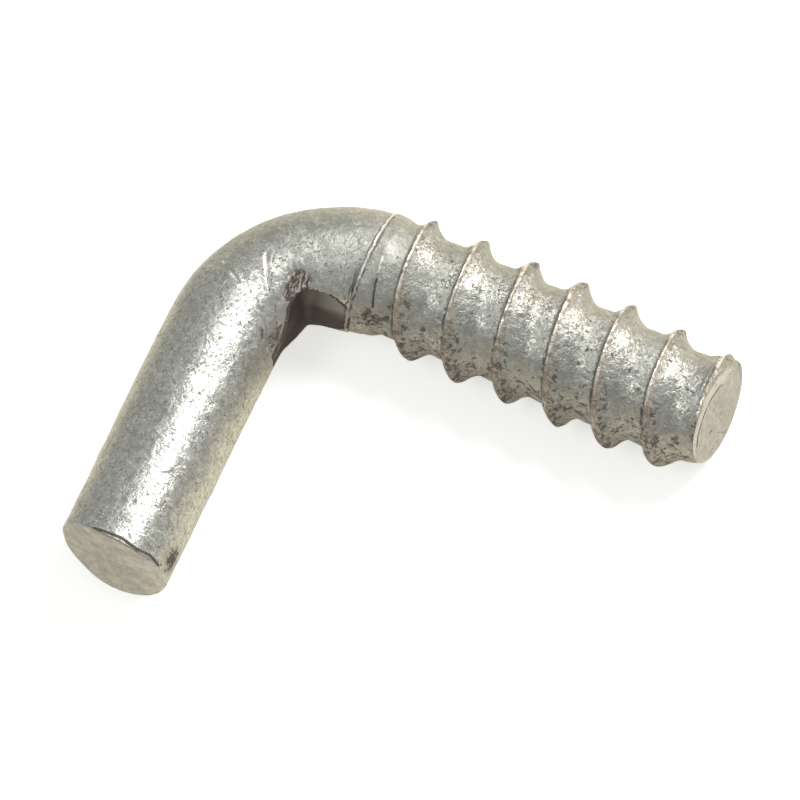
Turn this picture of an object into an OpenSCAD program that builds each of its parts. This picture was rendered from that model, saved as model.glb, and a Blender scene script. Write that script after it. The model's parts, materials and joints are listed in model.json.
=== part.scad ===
// Screw hook: a steel wire bent into an L, with a plain pin on one arm and a rolled,
// coarse right-hand thread on the other. It is one solid piece. Millimetres, +Z up.
// The hook lies flat. The threaded arm runs along +X and the pin along -Y. The origin is
// under the middle of the hook's box, on the surface that it lies on.

/* [Wire] */
// Diameter of the wire, and so of the plain pin
wire_d = 8; // [6:0.1:10]

/* [Pin] */
// Reach of the pin, from the crossing of the two arms' axes to the middle of its end
pin_reach = 26.9; // [20:0.1:60]
// How far the cropped end of the pin is out of square, in degrees
pin_cut_tilt = 5; // [0:0.5:12]

/* [Bend] */
// Radius of the bend, to the middle of the wire
bend_r = 8.3; // [6.8:0.1:14]
// Angle between the two arms
arm_angle = 89; // [84:1:90]
// Radius of the inside corner, which a block pressed almost square
corner_r = 0.9; // [0.4:0.1:2]
// How deep the block's face on the threaded arm bites into the round of the wire
corner_flat = 0.15; // [0.05:0.01:0.3]
// How far the block's other face stands off the side of the pin
corner_gap = 0.15; // [0.1:0.01:0.4]

/* [Collar] */
// How far the collar, where the thread rolling began, stands above the wire
collar_rise = 0.2; // [0.16:0.01:0.5]
// Width of the collar
collar_w = 1.2; // [0.8:0.1:2]
// Chamfer on both edges of the collar
collar_edge = 0.1; // [0.05:0.01:0.15]
// How far back the collar starts from the end of the bend
collar_back = 1.4; // [1:0.1:1.5]

/* [Thread] */
// Reach of the thread, from the crossing of the two arms' axes to the middle of the tip
thread_reach = 32.7; // [20:0.1:45]
// How far the crests stand above the wire
crest_rise = 0.8; // [0.3:0.05:1.2]
// How far the grooves sink below the wire
groove_sink = 0.3; // [0.1:0.05:0.6]
// Distance between crests
pitch = 3.7; // [2.8:0.1:6]
// Width of the land on a crest
crest_w = 0.75; // [0.2:0.05:1]
// How far that land falls towards the collar
crest_fall = 0.3; // [0:0.05:0.5]
// Hollowness of the groove: 1 is a plain V, and a larger number is a rounder, wider root
groove_hollow = 3.4; // [1:0.1:5]
// Distance from the collar's start to the first full crest, on the outer side of the arm
first_crest = 2.3; // [1.5:0.05:4]
// Length over which the groove sinks to its full depth
run_in = 1.8; // [1.5:0.1:8]

/* [Tip] */
// How far the edge of the cropped tip lies below the wire
tip_sink = 0.25; // [0:0.05:0.5]
// Length over which the crests fall away to that edge
tip_taper = 1.6; // [0.3:0.1:3]
// How far the cropped tip leans back out of square, in degrees
tip_cut_tilt = 6; // [0:0.5:10]
// Length over which the thread comes to lean with the tip
tip_lean = 2.5; // [2:0.1:5]

/* [Hidden] */

// Steps in the round of the plain wire
$fn = 96;
// Points on each half of a section of the thread, and how many of them are on the land
FLANK_POINTS = 12;
LAND_POINTS = 3;
// How strongly those points crowd towards the land
CREST_CROWDING = 1.3;
// Sections in each turn of the thread
TURN_SECTIONS = 24;
// How far the thread starts under the collar's surface
THREAD_UNDER = 0.15;

wire_r = wire_d / 2;
collar_r = wire_r + collar_rise;
crest_r = wire_r + crest_rise;
root_r = wire_r - groove_sink;
tip_r = wire_r - tip_sink;
blank_r = collar_r - THREAD_UNDER;

// Each arm is straight from this distance out, measured from the crossing of the axes
tangent = bend_r / tan(arm_angle / 2);
// How far each arm leans from square to the other
arm_lean = 90 - arm_angle;

collar_x = tangent - collar_back;
collar_middle = collar_x + collar_w / 2;
collar_end = collar_x + collar_w;

// The thread starts in the middle of the collar, so that its first section is buried
thread_sections = ceil((thread_reach - collar_middle) / pitch * TURN_SECTIONS);
section_gap = (thread_reach - collar_middle) / thread_sections;
tip_slope = tan(tip_cut_tilt);

// Half of the land's width, as a share of the pitch, and the height of its edge towards the
// collar, as a share of the thread's height
land = crest_w / pitch / 2;
near_edge = 1 - crest_fall / (crest_r - root_r);

// The hook's box, measured from the crossing of the axes
box_left = tangent - bend_r - wire_r;
box_right = thread_reach + tip_slope * tip_r;
box_back = crest_r;
box_front = cos(arm_angle) * wire_r
    - sin(arm_angle) * (pin_reach + tan(pin_cut_tilt) * wire_r);

// 0 up to the start, 1 from the end, and a smooth rise between them
function smooth_rise(t) = let (c = min(max(t, 0), 1)) c * c * (3 - 2 * c);

// Point j's distance from the crest, as a share of the pitch from -1/2 to 1/2. Point 0 is in
// the middle of the land, and point LAND_POINTS on each side is on the land's edge
function crest_share(j) =
    let (side = j < FLANK_POINTS ? 1 : -1)
    let (step = j < FLANK_POINTS ? j : 2 * FLANK_POINTS - j)
    let (out = max((step - LAND_POINTS) / (FLANK_POINTS - LAND_POINTS), 0))
    side * (land * min(step / LAND_POINTS, 1) + (0.5 - land) * pow(out, CREST_CROWDING));

// Height of the thread at that share: 1 on the far edge of the land, a little less on its
// edge towards the collar, and 0 in the middle of the groove
function thread_height(share) =
    let (down = min(max((abs(share) - land) / (0.5 - land), 0), 1))
    let (over = min(max((share + land) / land / 2, 0), 1))
    (near_edge + (1 - near_edge) * (1 - pow(1 - over, 2))) * pow(1 - down, groove_hollow);

// Radius of the thread at x along the arm and at a share of the pitch from the crest
function thread_radius(x, share) =
    let (sunk = smooth_rise((x - collar_end) / run_in))
    let (root = blank_r + (root_r - blank_r) * sunk)
    let (crest = blank_r + (crest_r - blank_r) * sunk)
    let (tip_limit = tip_r + (crest_r - tip_r) * (thread_reach - x) / tip_taper)
    min(root + (crest - root) * thread_height(share), tip_limit);

// Point j of section i. The crest turns from +Y towards +Z as it advances: right-hand
function thread_point(i, j) =
    let (x = collar_middle + i * section_gap)
    let (share = crest_share(j))
    let (angle = 360 * ((x - collar_x - first_crest) / pitch - share))
    let (r = thread_radius(x, share))
    let (lean = max(1 - (thread_reach - x) / tip_lean, 0))
    [x - lean * tip_slope * r * sin(angle), r * cos(angle), r * sin(angle)];

// The pin and the bend are drawn with the pin straight along -Y, and turned by hook()

// The plain pin, cropped a little out of square so that its inner side is the longer
module pin_arm() {
    block = 3 * wire_d;
    difference() {
        translate([0, -tangent, 0])
            rotate([90, 0, 0])
                cylinder(r = wire_r, h = pin_reach - tangent + wire_d);
        translate([0, -pin_reach, 0])
            rotate([0, 0, -pin_cut_tilt])
                translate([-block / 2, -block, -block / 2])
                    cube(block);
    }
}

// The block whose rounded corner marks the inside of the bend
module corner_block() {
    arm_face = wire_r - corner_flat;
    pin_face = wire_r + corner_gap;
    along_arm = [cos(arm_lean), -sin(arm_lean)];
    off_arm = [-sin(arm_lean), -cos(arm_lean)];
    round_x = pin_face + corner_r;
    round_y = (arm_face + corner_r - round_x * off_arm.x) / off_arm.y;
    arm_side = [round_x, round_y] - corner_r * off_arm;
    far = 2 * tangent;
    translate([0, 0, -wire_d]) {
        translate([round_x, round_y, 0])
            cylinder(r = corner_r, h = 2 * wire_d);
        linear_extrude(height = 2 * wire_d)
            polygon([
                [round_x, round_y],
                arm_side,
                arm_side + far * along_arm,
                [far, -far],
                [pin_face, -far],
                [pin_face, round_y]
            ]);
    }
}

// The round of the bend, up to the middle of the collar, with its inside pressed to a corner
module bend() {
    difference() {
        translate([bend_r, -tangent, 0])
            mirror([1, 0, 0])
                rotate_extrude(angle = 90 + arm_lean)
                    translate([bend_r, 0])
                        circle(r = wire_r);
        corner_block();
        rotate([0, 0, -arm_lean])
            translate([collar_middle, -2 * wire_d, -wire_d])
                cube([2 * tangent, 4 * wire_d, 2 * wire_d]);
    }
}

// The ring of raised metal where the rolling began, with chamfered edges
module collar() {
    translate([collar_x, 0, 0])
        rotate([0, 90, 0])
            rotate_extrude()
                polygon([
                    [0, 0],
                    [collar_r - collar_edge, 0],
                    [collar_r, collar_edge],
                    [collar_r, collar_w - collar_edge],
                    [collar_r - collar_edge, collar_w],
                    [0, collar_w]
                ]);
}

// The rolled thread, as sections along the arm that turn once in each pitch
module rolled_thread() {
    around = 2 * FLANK_POINTS;
    points = [
        for (i = [0 : thread_sections])
            for (j = [0 : around - 1])
                thread_point(i, j)
    ];
    walls = [
        for (i = [0 : thread_sections - 1])
            for (j = [0 : around - 1])
                let (a = i * around + j)
                let (b = i * around + (j + 1) % around)
                for (face = [[a, b, a + around], [b, b + around, a + around]])
                    face
    ];
    start = [for (j = [1 : around]) around - j];
    tip = [for (j = [0 : around - 1]) thread_sections * around + j];
    polyhedron(points = points, faces = concat(walls, [start, tip]));
}

// The whole hook, moved so that it lies on the surface with its box centred on the origin
module hook() {
    color("silver")
        translate([-(box_left + box_right) / 2, -(box_front + box_back) / 2, crest_r]) {
            rotate([0, 0, arm_lean]) {
                pin_arm();
                bend();
            }
            collar();
            rolled_thread();
        }
}

hook();
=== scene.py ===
"""Screw hook: one zinc-coated wire with a plain pin arm, a tight bend and a rolled wood thread."""

import json
import logging
import math
from dataclasses import dataclass, field
from enum import Enum
from typing import Any, Callable, Sequence

import bmesh
import bpy
import numpy as np
from mathutils import Matrix, Vector


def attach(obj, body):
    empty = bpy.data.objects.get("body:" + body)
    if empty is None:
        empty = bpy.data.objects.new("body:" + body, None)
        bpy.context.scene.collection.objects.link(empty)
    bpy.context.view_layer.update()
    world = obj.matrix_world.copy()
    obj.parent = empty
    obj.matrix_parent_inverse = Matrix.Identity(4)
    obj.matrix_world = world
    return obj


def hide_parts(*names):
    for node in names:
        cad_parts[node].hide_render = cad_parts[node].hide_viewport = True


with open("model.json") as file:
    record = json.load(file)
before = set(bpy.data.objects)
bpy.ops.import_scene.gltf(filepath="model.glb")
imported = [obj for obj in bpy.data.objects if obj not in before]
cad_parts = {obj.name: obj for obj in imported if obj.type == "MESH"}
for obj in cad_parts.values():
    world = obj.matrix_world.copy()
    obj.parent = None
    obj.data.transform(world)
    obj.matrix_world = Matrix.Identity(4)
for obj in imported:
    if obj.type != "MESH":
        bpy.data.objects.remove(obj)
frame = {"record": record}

log = logging.getLogger("screw_hook")
MM = 0.001
UP = Vector((0.0, 0.0, 1.0))
ORIGIN = (0.0, 0.0, 0.0)
BLACK = (0.0, 0.0, 0.0)
WHITE = (1.0, 1.0, 1.0)

Colour = tuple[float, float, float]
Spot = tuple[float, float]
Window = tuple[float, float]
Values = dict[Any, Any] | None


def smooth(value: np.ndarray | float) -> np.ndarray | float:
    """Eases a share from 0 to 1 with level ends.

    Args:
        value: The share before easing; what lies outside 0 to 1 is held there.

    Returns:
        The eased share.
    """
    held = np.clip(value, 0.0, 1.0)
    return held * held * (3.0 - 2.0 * held)


def hump(distance: np.ndarray, width: float) -> np.ndarray:
    """Gives a round bump that is 1 at no distance and fades over its width.

    Args:
        distance: How far each place is from the bump's middle.
        width: The distance at which the bump has fallen to about a third.

    Returns:
        The bump's height at each place.
    """
    return np.exp(-((distance / width) ** 2))


def turn_gap(turn: np.ndarray, middle: float) -> np.ndarray:
    """Gives the signed angle from a place round the wire to another.

    Args:
        turn: The places, in degrees round the wire.
        middle: The place measured from, in degrees.

    Returns:
        The angles, from -180 to 180 degrees.
    """
    return (turn - middle + 180.0) % 360.0 - 180.0


def spot_gap(surface: "WireSurface", station: float, turn: float, length: float, width: float) -> np.ndarray:
    """Gives how far each place lies from an oval spot's middle.

    Args:
        surface: The wire's surface.
        station: The spot's station.
        turn: The spot's turn, in degrees.
        length: The spot's reach along the wire, in millimetres.
        width: Its reach round the wire.

    Returns:
        The distances, where 1 is the spot's reach.
    """
    along = (surface.station - station) / length
    across = np.radians(turn_gap(surface.turn, turn)) * surface.path.wire_r / width
    return np.hypot(along, across)


@dataclass(frozen=True)
class Rise:
    """An eased step, from 0 at its start to 1 a length further on."""

    start: float
    length: float

    def at(self, value: np.ndarray | float) -> np.ndarray | float:
        """How far the step has risen at each value."""
        return smooth((value - self.start) / self.length)


@dataclass(frozen=True)
class Wave:
    """A slow wave that keeps the work from being perfectly even."""

    height: float
    pace: float
    start: float = 0.0

    def at(self, value: np.ndarray, ahead: np.ndarray | float = 0.0) -> np.ndarray:
        """The wave's height at each value; what is ahead is added to its angle, in radians."""
        return self.height * np.sin(value * self.pace + self.start + ahead)


class Mark(Enum):
    """What a place on the wire carries, kept on its vertices for the finish."""

    SOIL = "soil"
    CUT = "cut"
    SHINE = "shine"
    # painted shade: the flat inside the bend is painted near black, a dark reflection of the shaded floor,
    # darkest on its underside
    PATINA = "patina"
    CRUMPLE = "crumple"
    ROLLED = "rolled"
    DRIFT = "drift"
    FACET = "facet"
    CRACK = "crack"
    # scar: bright scars, partly bare metal and partly painted highlights
    SCAR = "scar"
    # dull: a rougher coat, also painted darker as painted shade where the highlights fall
    DULL = "dull"


@dataclass(frozen=True)
class WirePath:
    """The hook's centreline, in millimetres from the point where the axes of its two arms cross.

    The threaded arm runs along +X. A place on the wire is its station, which is 0 at the pin's end and grows
    towards the thread's tip, and its turn, which is 0 degrees on the outside of the bend and 90 on top.
    """

    wire_r: float
    bend_r: float
    swing: float
    tangent: float
    pin_reach: float
    collar_end: float
    thread_reach: float
    crossing: Vector
    squared: Rise = Rise(-2.1, 0.9)

    @classmethod
    def from_record(cls, record: dict[str, Any]) -> "WirePath":
        """Works the centreline out from the pin's and the thread's mounts.

        Args:
            record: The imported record.

        Returns:
            The path, with its crossing in the row frame in metres.
        """
        mounts = {m["name"]: m for m in record["mounts"]}
        pin, thread = mounts["pin"], mounts["thread"]
        pin_at, pin_axis = np.array(pin["pos_m"], float), np.array(pin["axis"], float)
        arm_at, arm_axis = np.array(thread["pos_m"], float), np.array(thread["axis"], float)
        sides = np.column_stack([pin_axis[:2], -arm_axis[:2]])
        along = np.linalg.solve(sides, (arm_at - pin_at)[:2])
        crossing = pin_at + pin_axis * along[0]
        to_pin = np.linalg.norm(pin_at - crossing) / MM
        to_arm = np.linalg.norm(arm_at - crossing) / MM
        half_pin, half_arm = pin["dims"]["length_mm"] / 2, thread["dims"]["length_mm"] / 2
        swing = math.pi - math.acos(float(pin_axis @ arm_axis))
        tangent = to_pin - half_pin
        return cls(
            wire_r=pin["dims"]["r_mm"],
            bend_r=tangent / math.tan(swing / 2),
            swing=swing,
            tangent=tangent,
            pin_reach=to_pin + half_pin,
            collar_end=to_arm - half_arm,
            thread_reach=to_arm + half_arm,
            crossing=Vector(crossing),
        )

    @property
    def pin_length(self) -> float:
        """The length of the straight part of the pin arm."""
        return self.pin_reach - self.tangent

    @property
    def bend_end(self) -> float:
        """The station where the bend runs into the threaded arm."""
        return self.pin_length + self.bend_r * self.swing

    @property
    def tip(self) -> float:
        """The station of the thread's tip."""
        return self.bend_end + self.thread_reach - self.tangent

    def on_pin(self, reach: float) -> float:
        """The station of a place on the pin arm, by its distance from the crossing."""
        return self.pin_reach - reach

    def on_bend(self, swung: float) -> float:
        """The station of a place on the bend, by its degrees from the threaded arm."""
        return self.bend_end - self.bend_r * math.radians(swung)

    def on_thread(self, x: float) -> float:
        """The station of a place on the threaded arm, by its distance from the crossing."""
        return self.bend_end + x - self.tangent

    def thread_x(self, station: np.ndarray) -> np.ndarray:
        """The distance from the crossing along the threaded arm, for each station."""
        return station - self.bend_end + self.tangent

    def measure(self, points: np.ndarray) -> tuple[np.ndarray, np.ndarray, np.ndarray]:
        """Finds where points lie on the wire.

        Args:
            points: One row of x, y and z for each point, in millimetres from the crossing.

        Returns:
            The stations, the turns in degrees and the distances from the centreline.
        """
        from_x, from_y = points[:, 0] - self.tangent, points[:, 1] + self.bend_r
        swung = np.arctan2(-from_x, from_y)
        held = np.clip(swung, 0.0, self.swing)
        outward = from_x * -np.sin(held) + from_y * np.cos(held) - self.bend_r
        beyond = from_x * np.cos(held) + from_y * np.sin(held)
        station = self.bend_end - self.bend_r * held + beyond
        turn = np.degrees(np.arctan2(points[:, 2], outward))
        return station, turn, np.hypot(outward, points[:, 2])

    def place(self, station: np.ndarray, turn: np.ndarray, radius: np.ndarray) -> np.ndarray:
        """Puts places on the wire back into space.

        The last of the bend, under the collar, is straightened, so that the collar stands square to the arm.

        Args:
            station: The stations.
            turn: The turns in degrees.
            radius: The distances from the centreline.

        Returns:
            One row of x, y and z for each place, in millimetres from the crossing.
        """
        swung = (self.bend_end - station) / self.bend_r
        held = np.clip(swung, 0.0, self.swing)
        beyond = (held - swung) * self.bend_r
        swept = self.tangent - self.bend_r * np.sin(held)
        straight = self.squared.at(swept - self.collar_end) * (held > 0)
        lift = self.bend_r * (1.0 - np.cos(held)) * straight
        leaned = held * (1.0 - straight)
        outward = radius * np.cos(np.radians(turn))
        x = swept - outward * np.sin(leaned) + beyond * np.cos(held)
        y = self.bend_r * (np.cos(held) - 1.0) + lift + outward * np.cos(leaned) + beyond * np.sin(held)
        return np.column_stack([x, y, radius * np.sin(np.radians(turn))])


@dataclass
class WireSurface:
    """The wire's vertices in its own measures, and the marks that the work has left on them."""

    path: WirePath
    station: np.ndarray
    turn: np.ndarray
    radius: np.ndarray
    marks: dict[Mark, np.ndarray] = field(default_factory=dict)
    face_depth: float = 1e-3

    @classmethod
    def of(cls, path: WirePath, points: np.ndarray) -> "WireSurface":
        """Measures the plain wire.

        Args:
            path: The wire's centreline.
            points: The plain wire's vertices.

        Returns:
            The surface, with no marks yet.
        """
        station, turn, radius = path.measure(points)
        clean = {mark: np.zeros(len(points)) for mark in Mark}
        return cls(path, station, turn, radius, clean)

    @property
    def skin(self) -> np.ndarray:
        """1 on the wire's side and 0 on its cut faces."""
        inside = (self.station > self.face_depth) & (self.station < self.path.tip - self.face_depth)
        return inside.astype(float)

    def add(self, mark: Mark, amount: np.ndarray) -> None:
        """Lays more of one mark on, never past 1."""
        self.marks[mark] = np.clip(self.marks[mark] + amount, 0.0, 1.0)

    def points(self) -> np.ndarray:
        """The worked vertices, in millimetres from the crossing."""
        return self.path.place(self.station, self.turn, self.radius)


@dataclass(frozen=True)
class WireBlank:
    """The plain round wire: a ring drawn along the pin arm, spun round the bend and drawn along the other."""

    path: WirePath
    columns: int = 160
    pin_cuts: int = 86
    bend_steps: int = 120
    thread_cuts: tuple[int, int] = (3, 79)
    rim_steps: tuple[float, ...] = (0.04, 0.05, 0.08, 0.13)
    face_steps: int = 15
    face_hub: float = 0.3
    arm_start: float = 1.0
    long_edge: float = 1.0
    end_depth: float = 1e-4

    def sweep(self) -> bpy.types.Object:
        """Draws the wire and closes both its ends.

        Returns:
            The wire, in millimetres, its crossing at the origin.
        """
        path = self.path
        swing = path.swing
        down = Vector((-math.cos(swing), -math.sin(swing), 0.0))
        out = Vector((-math.sin(swing), math.cos(swing), 0.0))
        bend_centre = Vector((path.tangent, -path.bend_r, 0.0))
        pin_end = bend_centre + out * path.bend_r + down * path.pin_length
        bpy.ops.object.select_all(action="DESELECT")
        bpy.ops.mesh.primitive_circle_add(vertices=self.columns, radius=path.wire_r, fill_type="NOTHING")
        wire = bpy.context.active_object
        wire.name = "screw_hook"
        bpy.ops.object.mode_set(mode="EDIT")
        bpy.ops.mesh.select_all(action="SELECT")
        turned = Matrix((out, UP, -down)).transposed()
        mesh = bmesh.from_edit_mesh(wire.data)
        for vertex in mesh.verts:
            vertex.co = turned @ vertex.co + pin_end
        bmesh.update_edit_mesh(wire.data)
        for step in self.rim_steps:
            self._draw(-down * step)
        self._draw(-down * (path.pin_length - sum(self.rim_steps)))
        bpy.ops.mesh.spin(steps=self.bend_steps, angle=swing, center=bend_centre, axis=UP)
        self._draw(Vector((path.thread_reach - path.tangent, 0.0, 0.0)))
        past = path.tangent + self.arm_start
        self._divide(wire, lambda middle: middle.x > past, self.thread_cuts)
        self._divide(wire, lambda middle: middle.y < -past and middle.x < path.tangent, (self.pin_cuts,))
        self._close(wire, lambda point: (point - pin_end).dot(down) > -self.end_depth)
        self._close(wire, lambda point: point.x > path.thread_reach - self.end_depth)
        bpy.ops.mesh.select_all(action="SELECT")
        bpy.ops.mesh.normals_make_consistent(inside=False)
        bpy.ops.object.mode_set(mode="OBJECT")
        return wire

    @staticmethod
    def _draw(along: Vector) -> None:
        """Extrudes the selected ring by a vector."""
        bpy.ops.mesh.extrude_region_move(TRANSFORM_OT_translate={"value": along})

    def _divide(self, wire: bpy.types.Object, wanted: Callable[[Vector], bool], cuts: Sequence[int]) -> None:
        """Cuts the long edges of one arm into rings.

        Args:
            wire: The wire, in edit mode.
            wanted: Says from an edge's middle whether it belongs to the arm.
            cuts: How many cuts each round puts into every edge.
        """
        for count in cuts:
            bpy.ops.mesh.select_mode(type="EDGE")
            bpy.ops.mesh.select_all(action="DESELECT")
            mesh = bmesh.from_edit_mesh(wire.data)
            for edge in mesh.edges:
                start, end = edge.verts
                if edge.calc_length() > self.long_edge and wanted((start.co + end.co) / 2):
                    edge.select_set(True)
            bmesh.update_edit_mesh(wire.data)
            bpy.ops.mesh.subdivide(number_cuts=count)

    def _close(self, wire: bpy.types.Object, wanted: Callable[[Vector], bool]) -> None:
        """Fills one end of the wire and rings the new face, so that it can be worked.

        Args:
            wire: The wire, in edit mode.
            wanted: Says whether a point lies on that end.
        """
        bpy.ops.mesh.select_mode(type="VERT")
        bpy.ops.mesh.select_all(action="DESELECT")
        mesh = bmesh.from_edit_mesh(wire.data)
        for vertex in mesh.verts:
            vertex.select_set(bool(wanted(vertex.co)))
        mesh.select_flush(True)
        bmesh.update_edit_mesh(wire.data)
        bpy.ops.mesh.edge_face_add()
        bpy.ops.mesh.select_mode(type="FACE")
        rest = self.path.wire_r - sum(self.rim_steps) - self.face_hub
        for step in (*self.rim_steps, *([rest / self.face_steps] * self.face_steps)):
            bpy.ops.mesh.inset(thickness=step, depth=0.0)
        bpy.ops.mesh.poke()


@dataclass(frozen=True)
class RolledThread:
    """The right-hand thread that two dies pressed into the straight arm, and the collar it starts from.

    Places across a pitch are shares of it, from just under -before to just over 1 - before, with the crest's
    high edge at 0. The front of the wire is the side where the dies closed, and its crests are lower and rounder.
    """

    path: WirePath
    pitch: float = 3.7
    root_r: float = 3.7
    blank_r: float = 4.05
    crest_r: float = 4.82
    land: float = 0.20
    land_rise: float = 0.40
    front_drop: float = 0.32
    front_hollow: float = 9.0
    hollow: float = 2.5
    fall: float = 3.9
    foot_rise: float = 0.10
    root_at: float = 0.3
    root_width: float = 0.14
    round_over: float = 0.03
    roll_start: float = 0.02
    roll_width: float = 0.72
    before: float = 0.42
    first_crest: float = 1.42
    run_in: float = 1.4
    collar_r: float = 4.13
    collar_w: float = 1.2
    collar_edge: Rise = Rise(0.0, 0.30)
    collar_fall: Rise = Rise(-0.3, 1.2)
    tip_r: float = 3.80
    tip_flat: float = 0.40
    tip_slope: float = 0.9
    starts_back: float = 2.6
    takes_over: Rise = Rise(-0.25, 0.5)
    front_from: Rise = Rise(30.0, 38.0)
    front_to: Rise = Rise(-180.0, 45.0)
    crest_waves: tuple[Wave, ...] = (Wave(0.030, 1.37, 0.6), Wave(0.022, 3.1, 2.0), Wave(0.016, 7.3))
    first_crests: Rise = Rise(10.8, 2.0)
    first_lower: float = 0.16
    last_crests: Rise = Rise(26.5, 2.0)
    last_lower: float = 0.15
    last_sunk: float = 0.08
    end_crest: Rise = Rise(30.8, 0.9)
    end_lower: float = 0.50
    drift: float = 0.055
    drift_turn: float = 112.0
    drift_width: float = 46.0
    drift_along: Wave = Wave(0.012, 1.3, 1.0)
    drift_round: Wave = Wave(0.008, 3.1)
    belly_turn: float = 190.0
    belly_edge: Rise = Rise(-70.0, 60.0)
    belly_from: Rise = Rise(-1.7, 0.6)
    # How much the thread's underside is greyed: darker towards the bottom.
    belly_darkening: float = 0.30

    def work(self, surface: WireSurface) -> None:
        """Presses the thread into the wire.

        Args:
            surface: The wire's surface, which is changed.
        """
        x = self.path.thread_x(surface.station)
        past_collar = x - self.path.collar_end
        spiral = (past_collar - self.first_crest) / self.pitch - surface.turn / 360.0
        drift = self._drift(x, surface.turn)
        share = (spiral + drift + self.before) % 1.0 - self.before
        winding = (spiral - share) * 2 * math.pi + np.radians(surface.turn)
        form = self._outline(share, self._uneven(x, winding), self._front(surface.turn))
        form = form - self.last_sunk * self.last_crests.at(x)
        full = smooth(past_collar / self.run_in)
        threaded = self.blank_r + (form - self.blank_r) * full
        to_tip = np.maximum(self.path.thread_reach - x - self.tip_flat, 0.0)
        threaded = np.minimum(threaded, self.tip_r + self.tip_slope * to_tip)
        collar, reached = self._collar(past_collar), self.takes_over.at(past_collar)
        rolled = collar + (threaded - collar) * reached
        shaped = np.where(past_collar > -self.starts_back, rolled, self.path.wire_r)
        surface.radius = surface.radius * (1.0 + (shaped / self.path.wire_r - 1.0) * (x > 0))
        surface.add(Mark.ROLLED, surface.skin * reached * full)
        surface.add(Mark.DRIFT, 0.5 + drift)
        # Greys the thread's underside, from a little past the collar: darker towards the bottom.
        low = self.belly_edge.at(-np.abs(turn_gap(surface.turn, self.belly_turn)))
        surface.add(Mark.SOIL, surface.skin * self.belly_from.at(past_collar) * low * self.belly_darkening)

    def _drift(self, x: np.ndarray, turn: np.ndarray) -> np.ndarray:
        """Gives how far the crests wander.

        Args:
            x: Distances from the crossing along the arm.
            turn: The turns, in degrees.

        Returns:
            The wander, in shares of the pitch.
        """
        bulge = self.drift * hump(turn_gap(turn, self.drift_turn), self.drift_width)
        return bulge + self.drift_along.at(x) + self.drift_round.at(x, np.radians(turn))

    def _uneven(self, x: np.ndarray, winding: np.ndarray) -> np.ndarray:
        """Gives how much higher the crests stand than they should.

        Args:
            x: Distances from the crossing along the arm.
            winding: How far round each crest is on its way from the collar, in radians.

        Returns:
            The extra heights, most of them below 0 on the first and the last crests.
        """
        waves = sum(wave.at(winding) for wave in self.crest_waves)
        lower = self.first_lower * (1.0 - self.first_crests.at(x)) + self.last_lower * self.last_crests.at(x)
        return waves - lower - self.end_lower * self.end_crest.at(x)

    def _front(self, turn: np.ndarray) -> np.ndarray:
        """How far each turn is on the front, from 0 to 1."""
        return self.front_from.at(turn) * self.front_to.at(-turn)

    def _outline(self, share: np.ndarray, uneven: np.ndarray, front: np.ndarray) -> np.ndarray:
        """Gives the thread's radius across one pitch.

        Args:
            share: Places across the pitch.
            uneven: How much higher the crest stands than it should.
            front: How much flatter and rounder the crest is, from 0 to 1.

        Returns:
            The radii.
        """
        top = self.crest_r + uneven - self.front_drop * front
        edge = top - self.land_rise * (1.0 - front)
        before = np.clip((-self.land - share) / (self.before - self.land), 0.0, 1.0)
        over = np.clip((share + self.land) / self.land, 0.0, 1.0)
        after = np.hypot(np.clip(share / (1.0 - self.before), 0.0, 1.0), self.round_over) - self.round_over
        foot = self.root_r + self.foot_rise
        rising = foot + (edge - foot) * (1.0 - before) ** (self.hollow + self.front_hollow * front)
        settle = foot + (self.root_r - foot) * hump(share - self.root_at, self.root_width)
        land = edge + (top - edge) * (1.0 - (1.0 - over) ** 2)
        steep = np.where(share < 0, land, settle + (top - settle) * (1.0 - after) ** self.fall)
        rolled = np.clip((share + self.land - self.roll_start) / self.roll_width, 0.0, 1.0)
        gentle = settle + (top - settle) * (0.5 + 0.5 * np.cos(np.pi * rolled))
        return np.where(share < -self.land, rising, steep + (gentle - steep) * front)

    def _collar(self, past_collar: np.ndarray) -> np.ndarray:
        """Gives the radius of the swelling that the dies left just behind the thread.

        Args:
            past_collar: Distances from the collar's end along the arm.

        Returns:
            The radii.
        """
        swell = (self.collar_r - self.path.wire_r) * self.collar_edge.at(past_collar + self.collar_w)
        return self.path.wire_r + swell + (self.blank_r - self.collar_r) * self.collar_fall.at(past_collar)


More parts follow.
